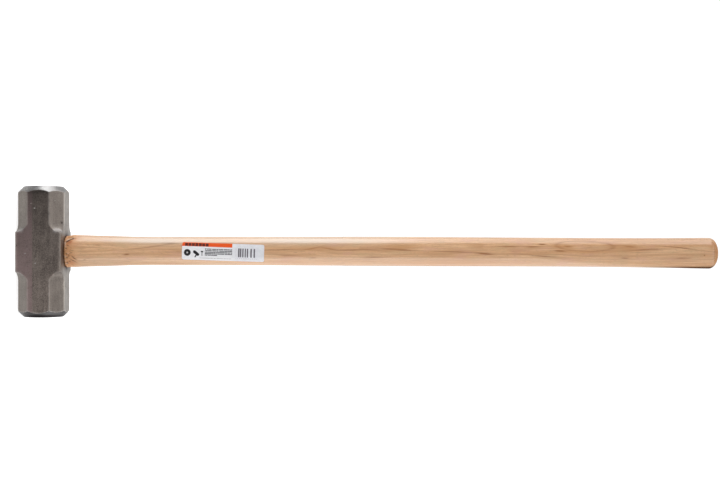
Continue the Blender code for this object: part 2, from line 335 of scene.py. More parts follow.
def forged(points, ground):
    """How deep the forging's unevenness lies under the true surface, and less where it was ground."""
    waves = 0.5 + 0.5 * rough(points, 17 * MM)
    ripples = 0.5 + 0.5 * rough(points, 5 * MM, 7.3)
    depth = 0.24 * MM * waves + 0.08 * MM * ripples
    for dent in DENTS:
        x, y, z, radius, knock = (length * MM for length in dent)
        away = np.linalg.norm(points - np.array((x, y, z)), axis=-1)
        depth = depth + knock * np.exp(-((away / radius) ** 2))
    return depth * (1 - 0.85 * ground)


def face_rows():
    """The striking face's outline from its chamfer to its centre, as (place along the head, radius) rows."""
    plane = HEAD_END - FACE_SETBACK
    rim = FACE_RADIUS + FACE_SETBACK - RIM_ROUND * math.tan(math.pi / 8)
    turns = np.radians(np.linspace(40, 0, RIM_ROWS))
    rim_along = plane - RIM_ROUND * (1 - np.cos(turns))
    rim_radius = rim + RIM_ROUND * np.sin(turns)
    shares = np.linspace(1, 0.04, FACE_ROWS)[1:]
    along = np.concatenate((rim_along, plane + FACE_CROWN * (1 - shares**2)))
    return along, np.concatenate((rim_radius, rim * shares))


def side_rows(angle, end):
    """Places along the head, closer together at the square's end and at both edges of the chamfer."""
    edge = runout_edge(angle, end)
    cone_start = FACE_RADIUS + HEAD_END - head_side_radius(np.full_like(angle, PLAIN_START), angle, end)
    cone_end = face_rows()[0][0] - 0.1 * MM
    to_edge = closing(SQUARE_ROWS, 1.6)[:, None] * edge
    to_facet = edge + (np.linspace(0, 1, RUNOUT_ROWS)[1:] ** 1.7)[:, None] * (PLAIN_START - edge)
    to_cone = PLAIN_START + closing(OCTAGON_ROWS, 1.5)[1:, None] * (cone_start - PLAIN_START)
    to_face = cone_start + clustered(CHAMFER_ROWS, 0.7)[1:, None] * (cone_end - cone_start)
    return np.concatenate((to_edge, to_facet, to_cone, to_face))


def head_half(end):
    """Rings of points from the head's middle to the centre of one striking face."""
    angle = head_angles()[None, :]
    along = side_rows(angle, end)
    cone = FACE_RADIUS + HEAD_END - along
    radius = smooth_min(head_side_radius(along, angle, end), cone, CHAMFER_EDGE_ROUND)
    ground = smooth_step(radius - cone, -0.5 * MM, -0.05 * MM)

    face_along, face_radius = face_rows()
    shape = (len(face_along), angle.shape[1])
    along = np.concatenate((along, np.broadcast_to(face_along[:, None], shape)))
    radius = np.concatenate((radius, np.broadcast_to(face_radius[:, None], shape)))
    ground = np.concatenate((ground, np.ones(shape)))

    def place(radius):
        across, up = -radius * np.cos(angle), radius * np.sin(angle)
        up = up - handle_side_draft(along, across, up)
        return np.stack((end * along, across, HEAD_AXIS + up), axis=-1)

    depth = forged(place(radius), ground) * smooth_step(radius, 0.2 * FACE_RADIUS, FACE_RADIUS)
    return place(radius - depth)


def bump_at(value, centre, width):
    """1 at the centre, falling off smoothly on both sides."""
    return np.exp(-(((value - centre) / width) ** 2))


def edge_wear(points):
    """How near each point of the head is to an edge that handling has rubbed, from 0 to 1."""
    along = np.abs(points[:, 0])
    across, up = np.abs(points[:, 1]), np.abs(points[:, 2] - HEAD_AXIS)
    diagonal = (across + up) / math.sqrt(2)
    flat = np.maximum(across, up)
    octagon_edge = bump_at(flat, HEAD_HALF, 0.9 * MM) * bump_at(diagonal, FACET, 0.7 * MM)
    octagon_edge *= smooth_step(along, SQUARE_HALF_LENGTH + 6 * MM, SQUARE_HALF_LENGTH + RUNOUT_RADIUS)
    corner = smooth_step(np.minimum(across, up), HEAD_HALF - 4.2 * MM, HEAD_HALF - 1.5 * MM)
    runout = bump_at(along, SQUARE_HALF_LENGTH + 1.5 * MM, 2.0 * MM)
    runout *= smooth_step(diagonal, FACET + 3 * MM, FACET + 7 * MM)
    cone_gap = FACE_RADIUS + HEAD_END - along - np.hypot(across, up)
    chamfer_edge = bump_at(cone_gap, 0.5 * MM, 0.5 * MM)
    patchy = 0.65 + 0.35 * rough(points, 4 * MM, 5.2)
    worn = np.maximum.reduce((octagon_edge, 0.4 * corner, 0.6 * runout, 0.8 * chamfer_edge))
    return np.clip(worn * patchy, 0, 1)


def eye_half(height):
    """The eye's half-widths at this height: widest at its two mouths, narrowest at the waist."""
    below = height < EYE_WAIST_HEIGHT
    reach = np.where(below, EYE_WAIST_HEIGHT, HEAD_TOP - EYE_WAIST_HEIGHT)
    share = (np.abs(height - EYE_WAIST_HEIGHT) / reach)[..., None]
    mouth = np.where(below[..., None], np.array(EYE_CROWN), np.array(EYE_MOUTH))
    waist = np.array(EYE_WAIST)
    return waist + (mouth - waist) * share**2


def oval(half, roundness, angle):
    """Points of a superellipse with these half-widths, for rows of sections and columns of angles."""
    cosine, sine = np.cos(angle), np.sin(angle)
    power = 2 / roundness
    x = half[:, :1] * np.sign(cosine) * np.abs(cosine) ** power
    y = half[:, 1:] * np.sign(sine) * np.abs(sine) ** power
    return x, y


def eye_cutter():
    """The eye, opening out at both mouths where its edges were eased."""
    turns = np.radians(np.linspace(0, 90, 7))
    low = [CUT_START - 0.2 * MM, *(EYE_EASE * (1 - np.cos(turns)))]
    low_flare = [EYE_EASE, *(EYE_EASE * (1 - np.sin(turns)))]
    middle = np.linspace(EYE_EASE, HEAD_TOP - EYE_EASE, 16)[1:-1]
    height = np.concatenate((low, middle, HEAD_TOP - np.array(low[::-1])))
    flare = np.concatenate((low_flare, np.zeros(len(middle)), low_flare[::-1]))
    half = eye_half(np.clip(height, 0, HEAD_TOP)) + flare[:, None]
    x, y = oval(half, EYE_ROUNDNESS, turn_angles(EYE_COLUMNS))
    z = np.broadcast_to(height[:, None], x.shape)
    return tube_object("eye_cutter", np.stack((x, y, z), axis=-1))


def make_head(material):
    near, far = head_half(-1), head_half(1)
    head = tube_object("hammer_head", np.concatenate((near[:0:-1], far)))
    cut(head, eye_cutter())
    sharpen(head, 50)
    layer = head.data.attributes.new("wear", "FLOAT", "POINT")
    layer.data.foreach_set("value", edge_wear(vertex_places(head.data)))
    show_as(head, "head", material)


# Handle


def shaft_half(height):
    """The shaft's half-widths, on a smooth curve through the stations."""
    heights = SHAFT_STATIONS[:, 0]
    i = np.clip(np.searchsorted(heights, height, side="right") - 1, 0, len(heights) - 2)
    before, after = np.maximum(i - 1, 0), np.minimum(i + 2, len(heights) - 1)
    span = heights[i + 1] - heights[i]
    t = ((height - heights[i]) / span)[..., None]
    start, end = SHAFT_STATIONS[i, 1:], SHAFT_STATIONS[i + 1, 1:]
    rise_in = (end - SHAFT_STATIONS[before, 1:]) * (span / (heights[i + 1] - heights[before]))[..., None]
    rise_out = (SHAFT_STATIONS[after, 1:] - start) * (span / (heights[after] - heights[i]))[..., None]
    return (
        (2 * t**3 - 3 * t**2 + 1) * start
        + (t**3 - 2 * t**2 + t) * rise_in
        + (3 * t**2 - 2 * t**3) * end
        + (t**3 - t**2) * rise_out
    )


def shaft_centre(height):
    """Shift of the handle's centre along X: it leaves the eye a little to -X, and bows towards +X."""
    leaving = SHAFT_OFFSET * smooth_step(height, HEAD_TOP, SHOULDER)
    share = np.clip(height - SHOULDER, 0, None) / (HANDLE_END - SHOULDER)
    return leaving + SHAFT_BOW * share**SHAFT_BOW_POWER


def shoulder_cuts(points):
    """Depth of the knife and rasp marks that fit the shaft to the eye's mouth."""
    x, y, z = points[..., 0], points[..., 1], points[..., 2]
    turn = np.arctan2(y, x)
    fade = 1 - smooth_step(z, 66 * MM, 83 * MM)
    depth = np.zeros_like(x)
    marks = random.Random(KNIFE_SEED)
    for _ in range(KNIFE_MARKS):
        at, height = marks.uniform(-math.pi, math.pi), marks.uniform(60, 77) * MM
        wide, tall = marks.uniform(0.05, 0.16), marks.uniform(1.5, 5.5) * MM
        lean = marks.uniform(-0.02, 0.02)
        offset = np.mod(turn - at + lean * (z - height) / MM + math.pi, 2 * math.pi) - math.pi
        away = (offset / wide) ** 2 + ((z - height) / tall) ** 2
        depth = np.maximum(depth, marks.uniform(0.2, 0.55) * MM * (1 - away))
    return depth * fade


def sliver(points):
    """A split that lifts a sliver of wood beside the head, on the front near the -X side."""
    x, y, z = points[..., 0], points[..., 1], points[..., 2]
    start, end = np.array((-11.5, 60.0)) * MM, np.array((-17.2, 70.0)) * MM
    run = end - start
    share = np.clip(((x - start[0]) * run[0] + (z - start[1]) * run[1]) / (run @ run), 0, 1)
    away = np.hypot(x - start[0] - share * run[0], z - start[1] - share * run[1])
    return 0.75 * MM * np.exp(-((away / (0.55 * MM)) ** 2)) * (y < 0)


def section_rings(height, half, roundness):
    """Rings of points with these half-widths, round the handle's centre line."""
    x, y = oval(half, roundness, turn_angles(HANDLE_COLUMNS))
    x = x + shaft_centre(height)[:, None]
    return np.stack((x, y, np.broadcast_to(height[:, None], x.shape)), axis=-1)


def body_rings():
    """The handle from its tongue's end, through the shoulder beside the head, to the start of its dome."""
    tongue = np.linspace(TONGUE_RECESS, TONGUE_TOP, TONGUE_ROWS)
    shoulder = np.linspace(TONGUE_TOP, SHOULDER_TOP, SHOULDER_ROWS)[1:]
    shaft = np.linspace(SHOULDER_TOP, DOME_START, SHAFT_ROWS)[1:]
    height = np.concatenate((tongue, shoulder, shaft))
    in_eye = eye_half(np.minimum(height, HEAD_TOP)) - FIT_GAP
    share = SHOULDER_STEP * smooth_step(height, HEAD_TOP - 1.2 * MM, HEAD_TOP + 0.8 * MM)
    share = share + (1 - SHOULDER_STEP) * smooth_step(height, HEAD_TOP, SHOULDER + 4 * MM)
    share = share[:, None]
    half = in_eye + (shaft_half(np.maximum(height, SHOULDER)) - in_eye) * share
    return section_rings(height, half, EYE_ROUNDNESS + (SHAFT_ROUNDNESS - EYE_ROUNDNESS) * share)


def dome_rings():
    """The rounded end of the grip."""
    turns = np.radians(np.linspace(0, DOME_TURN, DOME_ROWS))[1:]
    height = DOME_START + DOME_DEPTH * np.sin(turns) / math.sin(turns[-1])
    half = shaft_half(height) * (np.cos(turns) ** DOME_FULLNESS)[:, None]
    return section_rings(height, half, SHAFT_ROUNDNESS)


def handle_rings():
    """The whole handle's rings, with its shaved, split and sanded surface."""
    points = np.concatenate((body_rings(), dome_rings()))
    outward = points.copy()
    outward[..., 0] -= shaft_centre(points[..., 2])
    outward[..., 2] = 0
    outward /= np.maximum(np.linalg.norm(outward, axis=-1, keepdims=True), 1e-9)
    free = smooth_step(points[..., 2], HEAD_TOP - 0.5 * MM, HEAD_TOP + 1.5 * MM)
    stretched = points * np.array((1, 1, 0.16))
    sanding = 0.10 * MM * (0.5 + 0.5 * rough(stretched, 9 * MM, 3.1))
    depth = (shoulder_cuts(points) + sliver(points) + sanding) * free
    return points - outward * depth[..., None]


def oblong(left, right, near, far, height):
    return (left, near, height), (right, near, height), (right, far, height), (left, far, height)


def wedge_slot(node):
    """The room that a CAD wedge takes, a fit gap wider than the wedge itself."""
    low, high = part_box(node)
    centre, half = (high.x + low.x) / 2, (high.x - low.x) / 2 + FIT_GAP
    near, far = low.y - FIT_GAP, high.y + FIT_GAP
    stations = ((CUT_START, half), (low.z, half), (high.z + FIT_GAP, SLOT_TIP_HALF))
    rings = [oblong(centre - half, centre + half, near, far, height) for height, half in stations]
    return tube_object(node + "_slot", np.array(rings))


def kerf_cutter():
    """The saw cut along the tongue, opened at the crown by the wooden wedge."""
    reach = EYE_CROWN[0] + 2 * MM
    wedge_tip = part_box("wood_wedge")[1].z
    stations = (
        (CUT_START, KERF_HALF),
        (TONGUE_RECESS, KERF_HALF),
        (wedge_tip, KERF_TIP_HALF),
        (KERF_DEPTH, KERF_TIP_HALF),
    )
    rings = [oblong(-reach, reach, -half, half, height) for height, half in stations]
    return tube_object("kerf_cutter", np.array(rings))


def make_handle(material):
    handle = tube_object("wooden_handle", handle_rings())
    cut(handle, kerf_cutter(), wedge_slot("steel_wedge_near"), wedge_slot("steel_wedge_far"))
    sharpen(handle, 60)
    show_as(handle, "handle", material)


# Label


def label_outline_width(along):
    """The label's half-width at each place along it, drawn in at the rounded corners."""
    inset = np.minimum(along, LABEL_LENGTH - along)
    into = np.clip(LABEL_CORNER - inset, 0, LABEL_CORNER)
    return LABEL_WIDTH / 2 - (LABEL_CORNER - np.sqrt(np.maximum(LABEL_CORNER**2 - into**2, 0)))


def shaft_arc_table(height, steps=400):
    """Distance round the shaft from its front line, and the points it leads to, at one height."""
    angle = np.linspace(-math.pi, 0, steps)
    half = shaft_half(np.array([height]))
    x, y = oval(half, SHAFT_ROUNDNESS, angle[None, :])
    x, y = x[0], y[0]
    walk = np.concatenate(((0,), np.cumsum(np.hypot(np.diff(x), np.diff(y)))))
    front = np.interp(0, x, walk)
    return walk - front, x, y


def on_shaft(height, arc, lift):
    """Points this far over the shaft's surface, at these distances round it from its front line."""
    walk, x, y = shaft_arc_table(height)
    here = np.stack((np.interp(arc, walk, x), np.interp(arc, walk, y)), axis=-1)
    step = 0.05 * MM
    ahead = np.stack((np.interp(arc + step, walk, x), np.interp(arc + step, walk, y)), axis=-1)
    tangent = ahead - here
    tangent /= np.linalg.norm(tangent, axis=-1, keepdims=True)
    outward = np.stack((tangent[:, 1], -tangent[:, 0]), axis=-1)
    here = here + outward * lift
    centre = float(shaft_centre(np.array(height)))
    return np.stack((centre + here[:, 0], here[:, 1], np.full(len(arc), height)), axis=-1)


def sheet_point(along, across, side):
    """A point of the label's under (0) or upper (1) side, whose edges curl up a little."""
    height = LABEL_START + along * math.cos(LABEL_SKEW) - across * math.sin(LABEL_SKEW)
    arc = LABEL_SHIFT + along * math.sin(LABEL_SKEW) + across * math.cos(LABEL_SKEW)
    at_edge = min(along, LABEL_LENGTH - along, LABEL_WIDTH / 2 - abs(across))
    curl = LABEL_CURL * math.exp(-at_edge / LABEL_CURL_REACH)
    return tuple(on_shaft(height, np.array([arc]), LABEL_LIFT + side * LABEL_THICKNESS + curl)[0])


def sheet_places():
    """Rows of (along, across) places on the label, closer together at its rounded corners."""
    corner = LABEL_CORNER * (1 - np.cos(np.linspace(0, math.pi / 2, LABEL_CORNER_ROWS)))
    middle = np.linspace(LABEL_CORNER, LABEL_LENGTH - LABEL_CORNER, LABEL_MIDDLE_ROWS)[1:-1]
    rows = []
    for along in np.concatenate((corner, middle, LABEL_LENGTH - corner[::-1])):
        half = max(float(label_outline_width(np.array(along))), 0.05 * MM)
        rows.append([(along, across) for across in np.linspace(-1, 1, LABEL_COLUMNS) * half])
    return rows


def sheet_faces(rows, columns):
    """Both sides of a sheet whose upper points follow all its under ones, and the border between them."""
    faces = []
    size = rows * columns
    for i in range(rows - 1):
        for j in range(columns - 1):
            a = i * columns + j
            quad = (a, a + 1, a + columns + 1, a + columns)
            faces.append(quad[::-1])
            faces.append(tuple(size + k for k in quad))
    border = [i * columns for i in range(rows)]
    border += [(rows - 1) * columns + j for j in range(1, columns)]
    border += [i * columns + columns - 1 for i in range(rows - 2, -1, -1)]
    border += [j for j in range(columns - 2, 0, -1)]
    for a, b in zip(border, border[1:] + border[:1]):
        faces.append((b, size + b, size + a, a))
    return faces


def make_label(material):
    """A thin curved sheet with rounded corners, whose UV map runs from 0 to 1 along it and across it."""
    rows = sheet_places()
    places = [place for row in rows for place in row]
    points = [sheet_point(along, across, side) for side in (0, 1) for along, across in places]
    label = mesh_object("handle_label_paper", points, sheet_faces(len(rows), LABEL_COLUMNS))
    layer = label.data.uv_layers.new(name="print")
    for loop in label.data.loops:
        along, across = places[loop.vertex_index % len(places)]
        layer.data[loop.index].uv = (along / LABEL_LENGTH, across / LABEL_WIDTH + 0.5)
    sharpen(label, 40)
    show_as(label, "handle_label", material)


# Materials


class NodeTree:
    """Short ways to build on a node tree. Values are sockets or plain numbers."""

    def __init__(self, tree):
        self.nodes = tree.nodes
        self.links = tree.links

    def put(self, socket, value):
        if isinstance(value, bpy.types.NodeSocket):
            self.links.new(value, socket)
        elif isinstance(value, (tuple, list)) and len(value) == 3 and socket.type == "RGBA":
            socket.default_value = (*value, 1.0)
        else:
            socket.default_value = value

    def add(self, kind, inputs=(), output=0, **settings):
        node = self.nodes.new(kind)
        for key, value in settings.items():
            setattr(node, key, value)
        for key, value in dict(inputs).items():
            self.put(node.inputs[key], value)
        return None if output is None else node.outputs[output]

    def math(self, operation, a, b=0.0, clamp=False):
        return self.add("ShaderNodeMath", {0: a, 1: b}, operation=operation, use_clamp=clamp)

    def chain(self, operation, first, *others):
        for value in others:
            first = self.math(operation, first, value)
        return first

    def product(self, *values):
        return self.chain("MULTIPLY", *values)

    def total(self, *values):
        return self.chain("ADD", *values)

    def most(self, *values):
        return self.chain("MAXIMUM", *values)

    def minus(self, a, b):
        return self.math("SUBTRACT", a, b)

    def ratio(self, a, b):
        return self.math("DIVIDE", a, b)

    def size(self, value):
        return self.math("ABSOLUTE", value)

    def length(self, a, b):
        return self.math("SQRT", self.total(self.product(a, a), self.product(b, b)))

    def bell(self, value, centre, width):
        """1 at the centre, falling off smoothly on both sides."""
        off = self.ratio(self.minus(value, centre), width)
        return self.math("EXPONENT", self.product(-1, off, off))

    def span(self, value, low, high, to_low=0.0, to_high=1.0, kind="SMOOTHSTEP"):
        """Maps low to to_low and high to to_high, and stops at both."""
        inputs = {"Value": value, "From Min": low, "From Max": high, "To Min": to_low, "To Max": to_high}
        return self.add("ShaderNodeMapRange", inputs, interpolation_type=kind, clamp=True)

    def place(self):
        return self.add("ShaderNodeTexCoord", output="Object")

    def axes(self, vector):
        node = self.nodes.new("ShaderNodeSeparateXYZ")
        self.links.new(vector, node.inputs[0])
        return node.outputs[0], node.outputs[1], node.outputs[2]

    def joined(self, x, y, z):
        return self.add("ShaderNodeCombineXYZ", {0: x, 1: y, 2: z})

    def stretched(self, vector, x, y, z):
        return self.add("ShaderNodeVectorMath", {0: vector, 1: (x, y, z)}, operation="MULTIPLY")

    def noise(self, vector, lump, detail, roughness):
        """Noise from 0 to 1 whose lumps are about this long."""
        inputs = {"Vector": vector, "Scale": 1 / lump, "Detail": detail, "Roughness": roughness}
        return self.add("ShaderNodeTexNoise", inputs, noise_dimensions="3D")

    def grain(self, vector, squeeze, lump, detail, roughness):
        """Noise that is drawn out along Z: the smaller the squeeze, the longer its lumps."""
        return self.noise(self.stretched(vector, 1, 1, squeeze), lump, detail, roughness)

    def cells(self, vector, pitch):
        """Distance to the nearest of some scattered points, in units of their pitch."""
        return self.add("ShaderNodeTexVoronoi", {"Vector": vector, "Scale": 1 / pitch})

    def mix(self, share, low, high, blend="MIX"):
        node = self.nodes.new("ShaderNodeMix")
        node.data_type, node.blend_type = "RGBA", blend
        self.put(node.inputs["Factor"], share)
        self.put(node.inputs[6], low)
        self.put(node.inputs[7], high)
        return node.outputs[2]

    def layers(self, colour, *tints):
        """Lays tints over a colour one after the other: (how far it covers, its colour)."""
        for share, tint in tints:
            colour = self.mix(share, colour, tint)
        return colour

    def bump(self, height, strength, distance):
        return self.add("ShaderNodeBump", {"Height": height, "Strength": strength, "Distance": distance})


class Surface(NodeTree):
    """A material with a Principled shader."""

    INPUTS = {
        "colour": "Base Color",
        "roughness": "Roughness",
        "metallic": "Metallic",
        "normal": "Normal",
        "coat": "Coat Weight",
        "coat_roughness": "Coat Roughness",
        "coat_ior": "Coat IOR",
        "specular": "Specular IOR Level",
    }

    def __init__(self, name):
        self.material = bpy.data.materials.new(name)
        self.material.use_nodes = True
        super().__init__(self.material.node_tree)
        self.shader = self.nodes["Principled BSDF"]

    def finish(self, **values):
        for key, value in values.items():
            self.put(self.shader.inputs[self.INPUTS[key]], value)
        return self.material


def oval_distance(s, x, z, at_x, at_z, wide, long, lean=0.0):
    """Square of the distance from an oval's centre, in units of its half-width and half-length."""
    dz = s.minus(z, at_z)
    dx = s.minus(s.minus(x, at_x), s.product(dz, lean))
    dx, dz = s.ratio(dx, wide), s.ratio(dz, long)
    return s.total(s.product(dx, dx), s.product(dz, dz))


def ovals(s, x, z, rows, profile):
    """The sum of a table's ovals, each with this profile over its distance and times its strength."""
    shapes = []
    for *lengths, lean, strength in rows:
        square = oval_distance(s, x, z, *[length * MM for length in lengths], lean)
        shapes.append(s.product(profile(square), strength))
    return s.total(*shapes)


def spots(s, x, z, rows):
    """How strongly each point is inside some soft ovals."""
    return ovals(s, x, z, rows, lambda square: s.math("EXPONENT", s.product(square, -1)))


def spots_within(s, x, z, rows, mask):
    return s.math("MULTIPLY", spots(s, x, z, rows), mask, clamp=True)


def outlines(s, x, z, rows):
    """How strongly each point lies on some oval outlines."""
    return ovals(s, x, z, rows, lambda square: s.bell(square, 1, 0.22))


# Each mark is a soft oval: x, z, half-width and half-length in millimetres, then its lean and its strength.
STEEL_SPECKS = (
    # Bright nicks on the front cheek, with z from the head's axis
    (-56, -4.5, 0.7, 0.8, 0, 0.9),
    (15, -3.6, 0.6, 0.9, 0, 0.8),
    (9.5, -3, 0.5, 0.5, 0, 0.5),
    (2.4, -16.6, 0.5, 0.9, 0, 0.7),
    (-3.5, -14, 0.4, 0.4, 0, 0.5),
    (-62, -9, 0.4, 0.9, 0, 0.4),
    (-66, 20.5, 0.5, 0.5, 0, 0.35),
)
STEEL_RUBS = (
    # Scale rubbed off the handle side, with y in the place of z
    (44, -12.5, 8, 2.2, 0, 0.8),
    (62, -13.5, 9, 1.2, 0, 0.5),
    (-52, -13.6, 16, 1, 0, 0.45),
    (-60, 10, 6, 3, 0.4, 0.4),
)
STEEL_PITS = (
    # Dark pits on the front, with z from the head's axis
    (-37.4, 27.4, 1.2, 1.1, 0, 1),
    (-8, -27.6, 0.8, 1, 0, 0.8),
    (42, 8, 0.6, 0.7, 0, 0.5),
    (-18, 5, 0.6, 0.6, 0, 0.5),
)


def steel_patterns(s, place):
    """The speckle, grit, clouds, streaks and pits of forging scale."""
    g = SimpleNamespace(
        speckle=s.noise(place, 1.1 * MM, 3, 0.65),
        grit=s.noise(place, 0.35 * MM, 2, 0.6),
        clouds=s.noise(place, 14 * MM, 4, 0.6),
        streaks=s.noise(s.stretched(place, 0.12, 1, 1), 5 * MM, 3, 0.6),
        pits=s.span(s.cells(place, 2.4 * MM), 0.10, 0.24, 1, 0),
    )
    g.tone = s.total(s.product(g.speckle, 0.6), s.product(g.clouds, 0.25), s.product(g.streaks, 0.3))
    return g


def scale_colour_with_painted_light(s, g, x, y, z):
    """Forging scale with light and shade painted in: paler handle and crown sides, darker cheeks, facets
    lighter towards the crown side, a reddish cheek half that is part temper tint and part painted reflection,
    and painted shade on the cheeks towards the -X end.
    """
    cheek = s.span(s.size(y), HEAD_HALF - 1.5 * MM, HEAD_HALF - 0.8 * MM)
    side = s.span(s.size(z), HEAD_HALF - 1.5 * MM, HEAD_HALF - 0.8 * MM)
    level = s.span(g.tone, 0.38, 0.80)
    half = s.span(z, -8.5 * MM, -6.5 * MM, 1, 0)
    # Part temper tint and part painted reflection: a lighter, reddish half of each cheek.
    temper_tint_and_reflection = s.product(cheek, half, s.span(g.clouds, 0.3, 0.6, 0.6, 1), 0.75)
    # Painted reflections: the handle and crown sides paler and the cheeks darker than the facets, and the
    # facets lighter towards the crown side and darker towards the handle side.
    colour = s.layers(
        s.mix(level, (0.150, 0.128, 0.112), (0.300, 0.262, 0.232)),
        (s.span(z, -18 * MM, -12 * MM, 0.16, 0), (0.46, 0.42, 0.38)),
        (s.span(z, 12 * MM, 18 * MM, 0, 0.25), (0.105, 0.088, 0.078)),
        (side, s.mix(level, (0.22, 0.20, 0.182), (0.46, 0.425, 0.39))),
        (cheek, s.mix(level, (0.110, 0.089, 0.078), (0.350, 0.292, 0.256))),
        (temper_tint_and_reflection, (0.330, 0.235, 0.232)),
    )
    # Painted shade: the cheeks darken towards the -X end, and more next to the chamfer there.
    shade = s.product(
        s.span(x, -82 * MM, 60 * MM, 0.46, 1.14, kind="LINEAR"), s.span(x, -79 * MM, -72 * MM, 0.6, 1)
    )
    shade = s.total(1.0, s.product(cheek, s.minus(shade, 1.0)))
    return s.mix(1.0, colour, s.joined(shade, shade, shade), blend="MULTIPLY")


def scale_marks_and_painted_light(s, g, x, y, z, colour):
    """Pits, rubbed edges, nicks, a painted highlight on the -X run-outs, painted shade round the eye, and a
    dark ring at the eye's mouth that is part grime and part painted shade, laid over the scale's colour.
    """
    wear = s.add("ShaderNodeAttribute", output=2, attribute_name="wear", attribute_type="GEOMETRY")
    front = s.span(y, -14 * MM, -12 * MM, 1, 0)
    handle_side = s.span(z, 26 * MM, 28 * MM)
    # Painted highlight: the run-out arcs at the -X end, which face the key light, are painted bright.
    painted_runout_highlight = s.product(
        s.bell(x, -27.6 * MM, 2.6 * MM),
        s.span(s.size(y), 20 * MM, 23 * MM),
        s.span(s.size(z), 17 * MM, 22 * MM),
        s.span(z, -10 * MM, 10 * MM, 0.35, 0.5),
    )
    rubbed = spots_within(s, x, y, STEEL_RUBS, handle_side)
    # Painted shade: the handle side is darkened round the eye, where the handle shades it.
    painted_shade_round_eye = s.span(oval_distance(s, x, y, 0, 0, 29 * MM, 27 * MM), 0.6, 1.1, 1, 0)
    # Part grime and part painted shade: a dark ring at the eye's mouth round the handle.
    eye_ring_grime_and_shade = s.span(oval_distance(s, x, y, 0, 0, 24.5 * MM, 20.0 * MM), 0.70, 1.10, 1, 0)
    return s.layers(
        colour,
        (s.product(g.pits, 0.5), (0.030, 0.024, 0.022)),
        (s.product(s.span(g.grit, 0.66, 0.78), 0.4), (0.42, 0.38, 0.35)),
        (s.product(wear, 0.75), (0.46, 0.42, 0.39)),
        (painted_runout_highlight, (0.66, 0.63, 0.62)),
        (spots_within(s, x, z, STEEL_SPECKS, front), (0.70, 0.67, 0.64)),
        (spots_within(s, x, z, STEEL_PITS, front), (0.035, 0.025, 0.022)),
        (s.product(rubbed, s.span(g.speckle, 0.35, 0.6, 0.4, 1)), (0.62, 0.57, 0.50)),
        (s.product(painted_shade_round_eye, handle_side, 0.6), (0.105, 0.088, 0.082)),
        (s.product(eye_ring_grime_and_shade, handle_side), (0.030, 0.016, 0.017)),
    )


def ground_colour_with_painted_light(s, x, z, reach, rub, rings):
    """Bright steel with turning marks, a painted highlight band near the axis with painted shade towards the
    handle side, and a painted dark reflection on the chamfer at the +X end.
    """
    # Painted dark reflection: the chamfer at the +X end is painted nearly black.
    painted_dark_reflection = s.product(
        s.span(x, 0.0, 60 * MM),
        s.span(reach, FACE_RADIUS - 0.5 * MM, FACE_RADIUS + 0.7 * MM),
        s.span(reach, FACE_RADIUS + 3.0 * MM, FACE_RADIUS + 5.2 * MM, 1, 0.75),
        0.985,
    )
    return s.layers(
        s.mix(s.span(rub, 0.35, 0.7), (0.25, 0.24, 0.235), (0.45, 0.44, 0.435)),
        # Painted light and shade: a highlight band a little to the handle side of the axis, and darker beyond
        # it towards the handle side.
        (s.span(z, 6 * MM, 16 * MM, 0, 0.75), (0.20, 0.19, 0.188)),
        (s.bell(z, 6 * MM, 12.5 * MM), (0.43, 0.427, 0.425)),
        (s.product(s.span(rings, 0.5, 0.75), 0.3), (0.18, 0.165, 0.155)),
        (painted_dark_reflection, (0.008, 0.005, 0.006)),
    )


def forged_steel():
    """Dark lacquered forging, speckled with scale, and ground bright on the chamfers and striking faces, with
    painted highlights, shade and a dark reflection laid on.
    """
    s = Surface("forged_steel_head")
    place = s.place()
    x, y, z = s.axes(place)
    z = s.minus(z, HEAD_AXIS)
    g = steel_patterns(s, place)
    reach, along = s.length(y, z), s.size(x)
    cone_gap = s.minus(s.minus(FACE_RADIUS + HEAD_END, along), reach)
    ragged = s.product(s.minus(s.noise(place, 3 * MM, 3, 0.6), 0.5), 1.3 * MM)
    ground = s.span(s.total(cone_gap, ragged), 0.25 * MM, 0.75 * MM, 1, 0)
    rub = s.noise(place, 2.2 * MM, 4, 0.7)
    rings = s.noise(s.joined(reach, along, 0.0), 0.35 * MM, 2, 0.5)
    # Painted highlight: a thin bright line along the chamfer's edge at the +X end.
    painted_edge_highlight = s.product(
        s.bell(cone_gap, 0.95 * MM, 0.4 * MM), s.span(x, 0.0, 60 * MM), s.span(rub, 0.4, 0.6, 0.15, 0.6)
    )
    colour = s.layers(
        scale_marks_and_painted_light(s, g, x, y, z, scale_colour_with_painted_light(s, g, x, y, z)),
        (ground, ground_colour_with_painted_light(s, x, z, reach, rub, rings)),
        (painted_edge_highlight, (0.62, 0.59, 0.58)),
    )

    scale_roughness = s.total(s.span(g.tone, 0.4, 0.8, 0.50, 0.38), s.product(g.pits, 0.2))
    ground_roughness = s.span(rub, 0.35, 0.7, 0.42, 0.28)
    shares = {0: ground, 2: scale_roughness, 3: ground_roughness}
    roughness = s.add("ShaderNodeMix", shares, data_type="FLOAT")
    scale_height = s.total(
        s.product(g.speckle, 0.6), s.product(g.grit, 0.25), s.product(g.pits, -0.7), s.product(g.streaks, 0.5)
    )
    height = s.total(s.product(scale_height, s.span(ground, 0, 1, 1, 0.15)), s.product(rings, ground, 0.12))
    return s.finish(
        colour=colour,
        roughness=roughness,
        metallic=0.85,
        normal=s.bump(height, 0.7, 0.14 * MM),
        coat=0.15,
        coat_roughness=0.32,
    )


